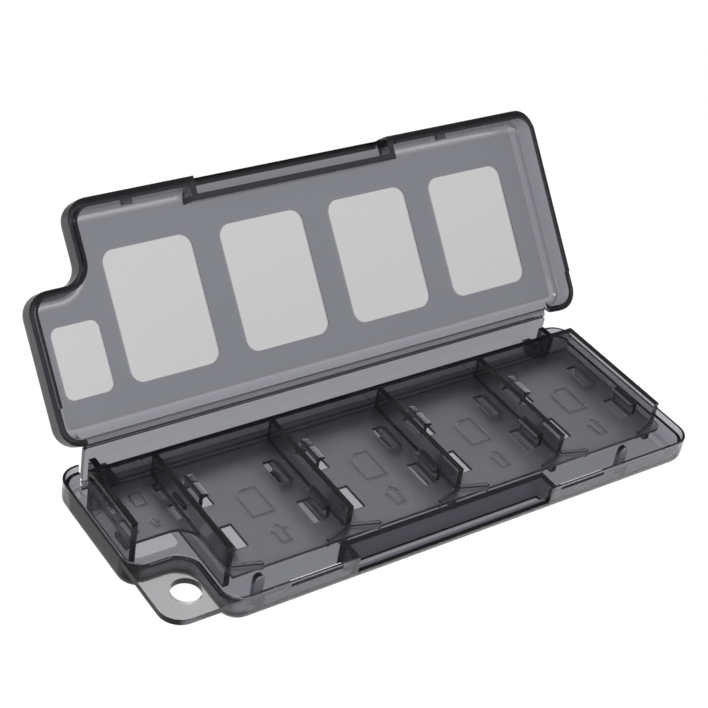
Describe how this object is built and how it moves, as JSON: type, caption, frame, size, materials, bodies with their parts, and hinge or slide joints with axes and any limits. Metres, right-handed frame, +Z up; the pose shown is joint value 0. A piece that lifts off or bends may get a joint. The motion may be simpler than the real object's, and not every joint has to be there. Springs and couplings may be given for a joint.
{
  "type": "game card case",
  "caption": "Translucent smoke-plastic case that opens like a book on film hinges, with clear windows in its leaves and a tray on the spine that holds small cards on both faces.",
  "frame": {"origin": "middle of the base leaf's rectangle on its flat underside", "axes": "+X along the hinge towards the end without the lanyard tab, +Y from the thumb recess to the hinge, +Z up from the table"},
  "size_m": [0.1444, 0.0844, 0.0555],
  "materials": {
    "smoke_shell": "translucent smoke grey, finely frosted with clear polished windows",
    "smoke_film": "translucent smoke grey, polished",
    "smoke_tray": "translucent smoke grey, polished"
  },
  "bodies": {
    "base": {"base_shell": "smoke_shell", "base_film": "smoke_film"},
    "spine": {"spine_strip": "smoke_shell", "card_tray": "smoke_tray"},
    "lid": {"lid_shell": "smoke_shell", "lid_film": "smoke_film"}
  },
  "joints": [
    {"name": "spine_fold", "type": "hinge", "parent": "base", "child": "spine", "pos_m": [0, 0.02525, 0.0015], "axis": [-1, 0, 0], "range_deg": [0, 30], "deforming": ["base_film"]},
    {"name": "lid_fold", "type": "hinge", "parent": "spine", "child": "lid", "pos_m": [0, 0.02525, 0.0127], "axis": [-1, 0, 0], "range_deg": [-130.2, 19.8], "deforming": ["lid_film"]}
  ]
}
